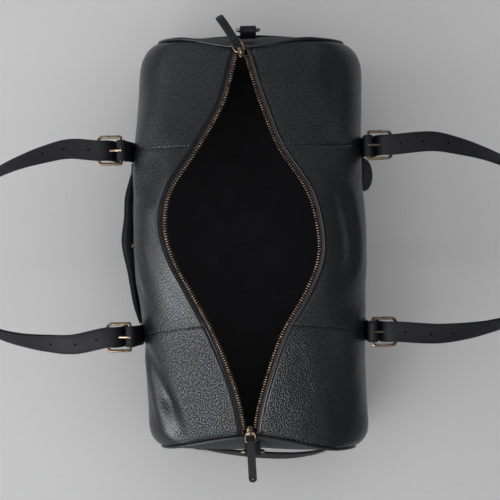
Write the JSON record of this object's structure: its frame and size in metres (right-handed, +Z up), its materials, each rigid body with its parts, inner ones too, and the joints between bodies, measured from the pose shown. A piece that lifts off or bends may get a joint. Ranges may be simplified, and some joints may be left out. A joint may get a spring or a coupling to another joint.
{
  "type": "gym bag",
  "caption": "Soft leather gym bag standing open at its zip, with folded-out buckled carry handles, end straps, end rings and a side slip pocket; carries clothes and kit.",
  "frame": {"origin": "centre of the base on the floor", "axes": "+Z up, +Y along the bag to its far end, +X to its right"},
  "size_m": [0.728, 0.5244, 0.2614],
  "materials": {
    "grained_leather": "pebbled, soft sheen",
    "strap_leather": "smooth, satin",
    "lining_cloth": "plain weave, matt",
    "zip_tape": "twill tape, matt",
    "antique_brass": "aged, satin"
  },
  "bodies": {
    "bag": {"base_panel": "grained_leather", "buckle_frame_left_far": "antique_brass", "buckle_frame_left_near": "antique_brass", "buckle_frame_right_far": "antique_brass", "buckle_frame_right_near": "antique_brass", "buckle_prong_left_far": "antique_brass", "buckle_prong_left_near": "antique_brass", "buckle_prong_right_far": "antique_brass", "buckle_prong_right_near": "antique_brass", "buckle_strap_left_far": "strap_leather", "buckle_strap_left_near": "strap_leather", "buckle_strap_right_far": "strap_leather", "buckle_strap_right_near": "strap_leather", "end_handle_far": "strap_leather", "end_handle_near": "strap_leather", "end_panel_far": "grained_leather", "end_panel_near": "grained_leather", "handle_left": "strap_leather", "handle_right": "strap_leather", "lining": "lining_cloth", "piping_far": "strap_leather", "piping_near": "strap_leather", "pocket_panel": "grained_leather", "pocket_stud": "antique_brass", "pull_ring_far": "antique_brass", "pull_ring_near": "antique_brass", "ring_tab_far": "strap_leather", "ring_tab_near": "strap_leather", "side_panel_left_far": "grained_leather", "side_panel_left_mid": "grained_leather", "side_panel_left_near": "grained_leather", "side_panel_right_far": "grained_leather", "side_panel_right_mid": "grained_leather", "side_panel_right_near": "grained_leather", "side_tab": "strap_leather", "zip_puller_far": "strap_leather", "zip_puller_near": "strap_leather", "zip_slider_far": "antique_brass", "zip_slider_near": "antique_brass", "zip_tape_left": "zip_tape", "zip_tape_right": "zip_tape", "zip_teeth_left": "antique_brass", "zip_teeth_right": "antique_brass"},
    "ring_near": {"d_ring_near": "antique_brass"},
    "ring_far": {"d_ring_far": "antique_brass"}
  },
  "joints": [
    {"name": "near_ring_swing", "type": "hinge", "parent": "bag", "child": "ring_near", "pos_m": [-0.005, -0.2335, 0.208], "axis": [-1, 0, 0], "range_deg": [0, 150]},
    {"name": "far_ring_swing", "type": "hinge", "parent": "bag", "child": "ring_far", "pos_m": [-0.0005, 0.242, 0.212], "axis": [1, 0, 0], "range_deg": [0, 130]}
  ]
}
